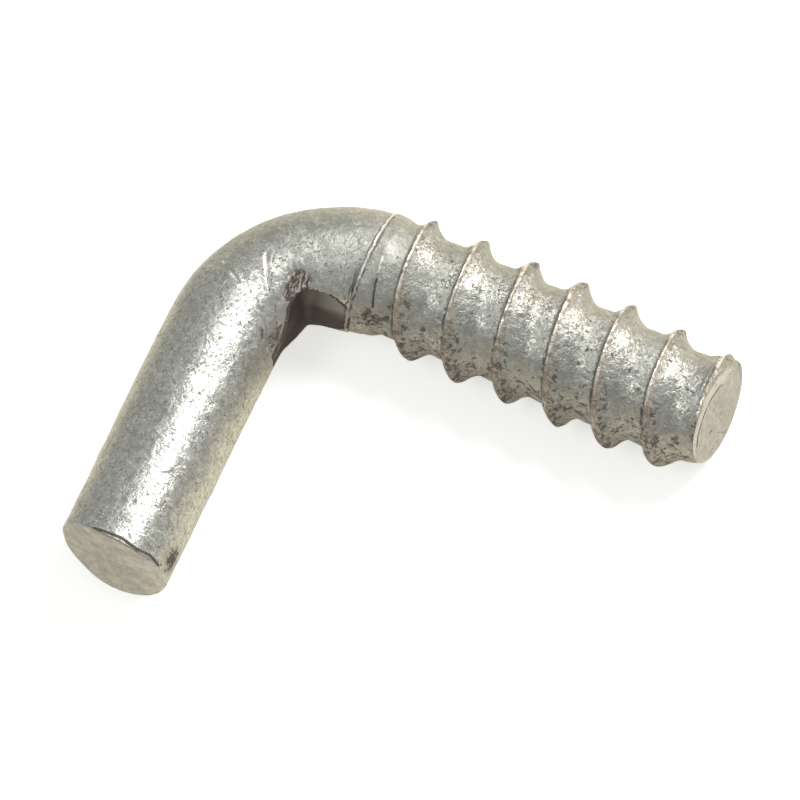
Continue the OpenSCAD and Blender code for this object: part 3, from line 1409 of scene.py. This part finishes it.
        # Painted shade in the creases of the crumpled skin.
        crease_shade = marks[Mark.CRUMPLE].ramp(0.15, 0.5) * grounds.streaks.ramp(*self.crease_shade_window)
        crack = (marks[Mark.CRACK] + wander * 0.10).ramp(*self.crack_window) * patch.ramp(0.30, 0.42)
        seam = self.seam.on(grounds.facet + wander * 0.12)
        seam = seam * grounds.facet.ramp(*self.seam_end) * patch.ramp(0.34, 0.42)
        stains = (bench.noise(grounds.where, self.stains) + soil * 0.35).ramp(*self.stain_window)
        dirt_and_shade = patches.most(crease_shade).most(crack).most(seam).most(ridges.edges)
        return dirt_and_shade.most(marks[Mark.ROLLED] * stains * 0.8)

    def _bump(
        self, bench: FinishBench, grounds: Grounds, lip: Signal, dirt_and_shade: Signal, pressed: Signal
    ) -> Signal:
        """Raises the coat's grain, its dimples and the ridges' lips.

        Args:
            bench: Where the finish is put together.
            grounds: The fields to mix from.
            lip: The raised lips of the ridges.
            dirt_and_shade: The share of grime and painted shade.
            pressed: 1 on the flat inside the bend, which is smooth.

        Returns:
            The normal.
        """
        rolled = grounds.marks[Mark.ROLLED]
        dimples = bench.noise(grounds.where, self.dimples) * (1.0 - rolled)
        dimples = dimples + bench.noise(grounds.where, self.rolled_dimples) * rolled
        relief = dimples * 0.42 + bench.noise(grounds.where, self.lumps) * 0.7
        relief = relief + grounds.grain * 0.22 + grounds.fine * 0.08 - grounds.specks * 0.3 - dirt_and_shade * 0.35
        relief = relief + lip * 0.8 - grounds.marks[Mark.CRUMPLE] * grounds.streaks * 1.6
        relief = relief * (1.0 - pressed * 0.85) * (1.0 + rolled * 0.8)
        inputs = {"Strength": self.bump_strength, "Distance": self.bump_height, "Height": relief}
        return bench.make("ShaderNodeBump", {}, inputs).out()

    def _ridges(self, bench: FinishBench, grounds: Grounds) -> Ridges:
        """Finds the lines of the thread and of the collar, with their painted highlights and painted shadows.

        Args:
            bench: Where the finish is put together.
            grounds: The fields to mix from.

        Returns:
            The lines. Those on the thread are placed by the distance from the crest's low edge, in millimetres,
            and by the turn, from -0.5 to 0.5 round the wire.
        """
        where, wander, rolled = grounds.where, grounds.wander, grounds.marks[Mark.ROLLED]
        x, y, z = (part - middle / MM for part, middle in zip(bench.split(where), self.path.crossing))
        turn = z.turned_from(y) / (2 * math.pi)
        spiral = (x - self.path.collar_end - self.thread.first_crest) / self.thread.pitch - turn
        share = (spiral + grounds.marks[Mark.DRIFT] - 0.5 + self.thread.before).part() - self.thread.before
        beside = (share + self.thread.land) * self.thread.pitch + wander * 0.12
        upper = (turn + wander * 0.2).ramp(*self.upper_turn)
        low = turn.ramp(*self.belly_turn).most((0.0 - turn).ramp(*self.under_turn))
        broken = bench.noise(where, self.breaks).ramp(*self.break_window)
        spotted = bench.noise(where, self.spots).ramp(*self.spot_window)
        # Painted highlight along each crest, fading out low on the front where the light doesn't catch it.
        glint = self.crest_glint.on(beside) * upper * (self.glint_share + wander * 3.0).ramp(*self.share_window)
        # Painted shadow at the foot of each crest, wider underneath.
        left = self.crest_foot_shadow.on(beside + low * 0.06, low * 0.12) * broken * (0.55 + low * 0.25)
        right = self.right_line.on(beside + wander * 1.1) * low * spotted * 0.9
        flank = self.flank_line.on(beside) * self.flank_turn.on(turn) * spotted * 0.8
        rust = self.crest_rust.on(beside) * upper * (self.rust_share - wander * 3.0).ramp(*self.share_window)
        # Painted highlight: glint clusters high and low in each groove, speckled by fine noise.
        glint_places = self.upper_glint_place.near(beside) * self.upper_glint_turn.near(turn)
        glint_places = glint_places + self.lower_glint_place.near(beside) * self.lower_glint_turn.near(turn) * 0.6
        glint_flecks = (bench.noise(where, self.glint_flecks) + glint_places * 0.16).ramp(*self.glint_fleck_window)
        start = x - (self.path.collar_end - self.thread.collar_w + self.collar_in) + wander * 0.25
        collar = turn.ramp(*self.collar_top).most((0.0 - turn).ramp(*self.collar_below))
        # Painted highlight along the collar step, dimmer underneath.
        collar_glint = self.collar_glint.on(start) * (1.0 - low * 0.6)
        # Painted shadows beside the collar step.
        ahead = self.collar_step_shadow.on(start) * broken * (0.6 + low * 0.3)
        behind = self.collar_under_shadow.on(start) * low * broken * 0.8
        return Ridges(
            glint=(rolled * glint).most(collar * collar_glint),
            lip=(rolled * self.crest_lip.near(beside)).most(collar * self.collar_lip.near(start)),
            land=rolled * self.crest_land.on(beside) * (0.35 + low * 0.65),
            edges=(rolled * left.most(right).most(flank)).most(collar * ahead.most(behind)),
            rust=rolled * rust,
            painted_glints=rolled * glint_flecks * glint_places.ramp(*self.glint_place_window),
        )


@dataclass
class ScrewHook:
    """The whole hook, one solid piece of wire."""

    path: WirePath
    swells: tuple[Swell, ...] = (Swell("drawn_swell", 2.2, 0.10), Swell("dipped_lumps", 0.6, 0.035, 3))
    rim_crack: tuple[Spot, ...] = (
        (26.85, 68.0), (26.7, 80.0), (26.6, 98.0), (26.75, 116.0), (26.6, 131.0), (26.75, 147.0)
    )

    def build(self) -> bpy.types.Object:
        """Makes the hook, dresses it and puts it in the frame.

        Returns:
            The hook.
        """
        wire = WireBlank(self.path).sweep()
        surface = WireSurface.of(self.path, self._read(wire))
        thread = RolledThread(self.path)
        pressed = [*self._bows(), thread, PressedCorner(self.path), *self._lumps()]
        for work in [*pressed, *self._dents(), *self._lines(), *self._patches(), *self._ends()]:
            work.work(surface)
        self._write(wire, surface)
        for swell in self.swells:
            swell.raise_on(wire)
        self._settle(wire)
        wire.data.materials.clear()
        wire.data.materials.append(ZincFinish(self.path, thread).build())
        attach(wire, "root")
        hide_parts("hook")
        return wire

    def _dents(self) -> list[Dent]:
        """The knocks that the bending tools and use have left."""
        bend, pin = self.path.on_bend, self.path.on_pin
        return [
            Dent((bend(53.5), 106.0), (bend(54.5), 126.0), 0.24, 0.07, lip=0.4, soil=0.3),
            Dent((bend(47.0), 106.0), (bend(46.0), 126.0), 0.24, 0.07, lip=0.4, soil=0.3),
            Dent((bend(58.0), 80.0), (bend(71.0), 122.0), 0.26, 0.03, lip=0.6, shine=0.5),
            Dent((bend(74.6), 71.0), (bend(77.0), 86.0), 0.22, 0.06, lip=0.8, soil=0.3, shine=0.4),
            Dent((pin(14.7), 89.0), (pin(15.7), 110.0), 0.30, 0.012, lip=0.3, shine=1.0),
            Dent((pin(8.4), 132.0), (pin(8.9), 137.0), 0.20, 0.10, lip=0.2, soil=0.8),
        ]

    def _lines(self) -> list[Line]:
        """The cracks, and the bright scars that are partly painted highlights, as paths over the surface."""
        bend, pin, thread = self.path.on_bend, self.path.on_pin, self.path.on_thread
        return [
            Line(
                Mark.SCAR, ((bend(58.0), 79.0), (bend(62.0), 92.0), (bend(66.5), 103.0), (bend(70.0), 113.0))
            ),
            Line(Mark.SCAR, ((bend(59.6), 84.0), (bend(62.4), 92.0)), 1.0, 0.9),
            Line(Mark.SCAR, ((bend(75.0), 71.0), (bend(76.6), 85.0)), 0.95),
            Line(Mark.SCAR, ((bend(72.6), 54.0), (bend(73.2), 59.0)), 0.95),
            Line(Mark.SCAR, ((pin(14.7), 89.0), (pin(15.3), 101.0)), 1.0),
            Line(Mark.SCAR, ((thread(8.05), 96.0), (thread(8.25), 112.0)), 0.95),
            Line(Mark.CRACK, ((bend(62.2), 92.0), (bend(66.5), 105.0), (bend(69.5), 118.0)), 0.93),
            Line(Mark.CRACK, ((bend(75.6), 74.0), (bend(77.4), 86.0)), 0.92),
            Line(Mark.CRACK, ((bend(72.0), 128.0), (pin(7.4), 152.0), (pin(9.6), 153.0)), 0.94),
            Line(Mark.CRACK, ((pin(8.4), 132.0), (pin(8.9), 137.0)), 1.0),
            Line(Mark.CRACK, ((pin(24.4), 107.0), (pin(24.0), 128.0)), 0.90),
            Line(Mark.CRACK, ((pin(26.75), 43.0), (pin(26.95), 74.0)), 0.90),
            Line(Mark.CRACK, tuple((pin(reach), turn) for reach, turn in self.rim_crack), 1.0, 0.9),
            Line(Mark.CRACK, ((pin(26.5), 147.0), (pin(26.6), 151.0)), 1.0),
            Line(Mark.CRACK, ((thread(8.3), 118.0), (thread(8.45), 132.0), (thread(8.7), 148.0)), 1.0),
            Line(Mark.CRACK, ((thread(8.6), 158.0), (thread(9.4), 163.0)), 0.92),
        ]

    def _bows(self) -> list[Bow]:
        """Where the arms and the bend aren't quite true."""
        path = self.path
        return [
            Bow(path.on_pin(12.0), 0.0, 0.06, 5.0),
            Bow(path.on_pin(24.5), 180.0, 0.04, 3.0),
            Bow(path.on_bend(14.0), 22.0, 0.09, 2.2),
            Bow(path.on_thread(13.5), 22.0, 0.09, 4.0),
            Bow(path.on_thread(20.0), 22.0, 0.09, 4.0),
            Bow(path.on_thread(26.0), 22.0, 0.07, 3.5),
            Bow(path.on_thread(33.4), 25.0, 0.62, 1.7),
        ]

    def _patches(self) -> list[Patch]:
        """Where soil has gathered, the skin is crumpled, and the coat is rougher and darker as painted shade."""
        path = self.path
        return [
            # The dull patches sit where the highlights fall: rougher, and painted darker as painted shade.
            Patch(Mark.DULL, path.on_bend(39.0), 92.0, 5.4, 4.8, 1.0),
            Patch(Mark.SOIL, path.on_thread(28.45), 24.0, 0.45, 0.6, 0.9),
            Patch(Mark.DULL, path.on_thread(9.0), 105.0, 1.8, 5.0, 1.0),
            Patch(Mark.DULL, path.on_thread(11.3), 85.0, 1.3, 1.5, 1.0),
            Patch(Mark.DULL, path.on_thread(23.8), 81.0, 1.0, 1.3, 0.9),
            Patch(Mark.DULL, path.on_thread(27.6), 84.0, 1.0, 1.5, 1.0),
            Patch(Mark.CRUMPLE, path.on_bend(50.3), 122.0, 1.1, 0.85, 1.0),
            Patch(Mark.CRUMPLE, path.on_bend(58.5), 131.0, 0.8, 0.6, 0.9),
            Patch(Mark.SOIL, path.on_bend(53.5), 129.0, 1.5, 0.7, 0.50),
            Patch(Mark.SOIL, path.on_pin(8.0), 152.0, 2.6, 0.8, 0.55),
            Patch(Mark.SOIL, path.on_pin(25.7), 163.0, 1.0, 0.9, 0.70),
            Patch(Mark.SOIL, path.on_thread(8.6), 160.0, 0.8, 0.8, 0.30),
        ]

    def _lumps(self) -> list[Lump]:
        """Where the former pushed metal out of the corner."""
        path = self.path
        return [
            Lump(path.on_bend(22.0), 214.0, 1.5, 1.5, 0.36),
            Lump(path.on_bend(9.0), 206.0, 1.5, 1.5, 0.34),
        ]

    @staticmethod
    def _ends() -> list[CroppedEnd]:
        """The two sheared ends."""
        return [
            CroppedEnd(at_pin=True, lean=0.34, lean_to=180.0, crown=-0.24, dome=0.05, rim=0.14),
            # The tip's face is darkened as painted shade.
            CroppedEnd(
                at_pin=False, lean=0.55, lean_to=-78.0, dome=0.04, rim=0.45,
                band=75.0, band_to=110.0, soil=0.22,
            ),
        ]

    @staticmethod
    def _read(wire: bpy.types.Object) -> np.ndarray:
        """The wire's vertices, one row each."""
        flat = np.zeros(len(wire.data.vertices) * 3)
        wire.data.vertices.foreach_get("co", flat)
        return flat.reshape(-1, 3)

    @staticmethod
    def _write(wire: bpy.types.Object, surface: WireSurface) -> None:
        """Moves the wire's vertices to the worked surface and stores its marks.

        Args:
            wire: The wire.
            surface: The worked surface.
        """
        wire.data.vertices.foreach_set("co", surface.points().astype(np.float32).ravel())
        for mark, amount in surface.marks.items():
            kept = wire.data.attributes.new(mark.value, "FLOAT", "POINT")
            kept.data.foreach_set("value", amount.astype(np.float32))
        wire.data.update()

    def _settle(self, wire: bpy.types.Object) -> None:
        """Brings the wire to its real size and place, with its vertices and not its object.

        Args:
            wire: The wire, in millimetres from the crossing.
        """
        bpy.ops.object.select_all(action="DESELECT")
        wire.select_set(True)
        bpy.context.view_layer.objects.active = wire
        bpy.ops.object.mode_set(mode="EDIT")
        bpy.ops.mesh.select_all(action="SELECT")
        bpy.ops.transform.resize(value=(MM, MM, MM), center_override=ORIGIN)
        bpy.ops.transform.translate(value=self.path.crossing)
        bpy.ops.mesh.normals_make_consistent(inside=False)
        bpy.ops.object.mode_set(mode="OBJECT")
        bpy.ops.object.shade_smooth()


@dataclass(frozen=True)
class Lamp:
    """A soft square lamp that faces the hook."""

    name: str
    towards: tuple[float, float, float]
    distance: float
    size: float
    level: float
    colour: Colour

    def hang(self, centre: Vector) -> None:
        """Hangs the lamp.

        Args:
            centre: What it faces.
        """
        light = bpy.data.lights.new(self.name, "AREA")
        light.shape = "SQUARE"
        light.size = self.size
        light.energy = self.level * math.pi**2 * self.distance**2
        light.color = self.colour
        lamp = bpy.data.objects.new(self.name, light)
        away = Vector(self.towards).normalized()
        lamp.location = centre + away * self.distance
        lamp.rotation_mode = "QUATERNION"
        lamp.rotation_quaternion = away.to_track_quat("Z", "Y")
        lamp.visible_camera = False
        bpy.context.scene.collection.objects.link(lamp)


@dataclass
class Studio:
    """A pale floor, soft lamps, a white surround and the camera."""

    path: WirePath
    view_w: float = 0.05391
    stand: float = 0.40
    clip: Window = (0.01, 5.0)
    right: tuple[float, float, float] = (0.904077, 0.427262, 0.009561)
    up: tuple[float, float, float] = (-0.393031, 0.822445, 0.411231)
    aim_right: float = 8.286
    aim_up: float = -11.564
    floor_size: float = 3.0
    paper: Colour = (0.90, 0.83, 0.68)
    far_paper: Colour = (0.42, 0.41, 0.39)
    seen_paper: Colour = (0.74, 0.74, 0.74)
    seen_glow: float = 0.58
    far: Window = (0.023, 0.036)
    warm: Colour = (1.0, 0.90, 0.72)
    glow: float = 0.17
    back_glow: float = 0.03
    room: Colour = (0.41, 0.415, 0.39)
    room_front: Colour = (0.305, 0.305, 0.29)
    room_back: Colour = (0.78, 0.72, 0.62)
    room_top: Colour = (0.43, 0.435, 0.415)
    backwards: Spot = (0.35, 0.94)
    floor_behind: Window = (0.0, 0.025)
    front_window: Window = (-0.1, -0.9)
    back_window: Window = (0.50, 1.0)
    top_window: Window = (0.15, 0.65)
    lamps: tuple[Lamp, ...] = (
        Lamp("window_key", (0.25, 0.52, 0.815), 0.45, 0.19, 0.71, (1.0, 0.97, 0.925)),
        Lamp("right_back", (0.45, 0.88, 0.12), 0.50, 0.26, 0.07, (1.0, 0.94, 0.84)),
        Lamp("left_fill", (-0.32, -0.46, 0.82), 0.50, 0.18, 0.20, (0.97, 1.0, 0.95)),
    )

    def build(self) -> None:
        """Sets the floor, the lamps, the surround and the camera."""
        self._lay_floor()
        for lamp in self.lamps:
            lamp.hang(self.path.crossing)
        self._light_surround()
        self._set_camera()
        bpy.context.scene.view_settings.view_transform = "Standard"

    def _behind(self, x: Signal, y: Signal) -> Signal:
        """How far back a place or a direction is, away from the camera."""
        return x * self.backwards[0] + y * self.backwards[1]

    def _lay_floor(self) -> None:
        """Lays the floor: white to the eye, and to the metal a warm paper that darkens outwards."""
        bpy.ops.object.select_all(action="DESELECT")
        bpy.ops.mesh.primitive_plane_add(size=self.floor_size, location=ORIGIN)
        floor = bpy.context.active_object
        floor.name = "pale_floor"
        bench = FinishBench("pale_paper")
        rays = bench.make("ShaderNodeLightPath")
        where = bench.place()
        x, y, _ = bench.split(where)
        behind = self._behind(x, y).ramp(*self.floor_behind)
        shade = bench.length(where).ramp(*self.far) * (1.0 - behind)
        glow = (self.glow - behind * self.back_glow) * (1.0 - shade)
        cream = bench.paint("ShaderNodeBsdfDiffuse", self.paper)
        lit = bench.paint("ShaderNodeBsdfDiffuse", bench.blend(shade, self.paper, self.far_paper))
        warm = bench.paint("ShaderNodeEmission", bench.blend(glow, BLACK, self.warm))
        white = bench.paint("ShaderNodeBsdfDiffuse", self.seen_paper)
        seen_glow = bench.paint("ShaderNodeEmission", (self.seen_glow,) * 3)
        shown = bench.make("ShaderNodeAddShader", {}, {0: white, 1: seen_glow}).out()
        mirrored = bench.make("ShaderNodeAddShader", {}, {0: lit, 1: warm}).out()
        unseen = bench.either(rays.out("Is Glossy Ray"), cream, mirrored)
        seen = bench.either(rays.out("Is Camera Ray"), unseen, shown)
        bench.make("ShaderNodeOutputMaterial", {}, {"Surface": seen})
        floor.data.materials.append(bench.material)

    def _light_surround(self) -> None:
        """Makes the surround white to the eye, and to the metal a room that is dimmer towards the horizon."""
        world = bpy.data.worlds.new("surround")
        world.use_nodes = True
        bpy.context.scene.world = world
        bench = FinishBench("surround", world.node_tree)
        rays = bench.make("ShaderNodeLightPath")
        x, y, z = bench.split(bench.make("ShaderNodeTexCoord").out("Generated"))
        tone = bench.blend(y.ramp(*self.front_window), self.room, self.room_front)
        tone = bench.blend(self._behind(x, y).ramp(*self.back_window), tone, self.room_back)
        tone = bench.blend(z.ramp(*self.top_window), tone, self.room_top)
        room = bench.paint("ShaderNodeBackground", tone)
        white = bench.paint("ShaderNodeBackground", WHITE)
        seen = bench.either(rays.out("Is Camera Ray"), room, white)
        bench.make("ShaderNodeOutputWorld", {}, {"Surface": seen})

    def _set_camera(self) -> None:
        """Stands the camera high over the front, turned a little to the right and rolled by a degree."""
        right = Vector(self.right).normalized()
        up = Vector(self.up)
        up = (up - up.dot(right) * right).normalized()
        back = right.cross(up)
        aim = self.path.crossing + (right * self.aim_right + up * self.aim_up) * MM
        camera = bpy.data.objects.new("camera", bpy.data.cameras.new("camera"))
        camera.data.type = "ORTHO"
        camera.data.ortho_scale = self.view_w
        camera.data.clip_start, camera.data.clip_end = self.clip
        turned = Matrix((right, up, back)).transposed().to_4x4()
        camera.matrix_world = Matrix.Translation(aim + back * self.stand) @ turned
        bpy.context.scene.collection.objects.link(camera)
        bpy.context.scene.camera = camera


def main() -> None:
    """Builds the hook and the studio."""
    logging.basicConfig(level=logging.INFO, format="%(name)s: %(message)s")
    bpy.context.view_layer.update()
    path = WirePath.from_record(frame["record"])
    hook = ScrewHook(path).build()
    log.info("%s: %d vertices, %d faces", hook.name, len(hook.data.vertices), len(hook.data.polygons))
    Studio(path).build()


if __name__ == "__main__":
    main()
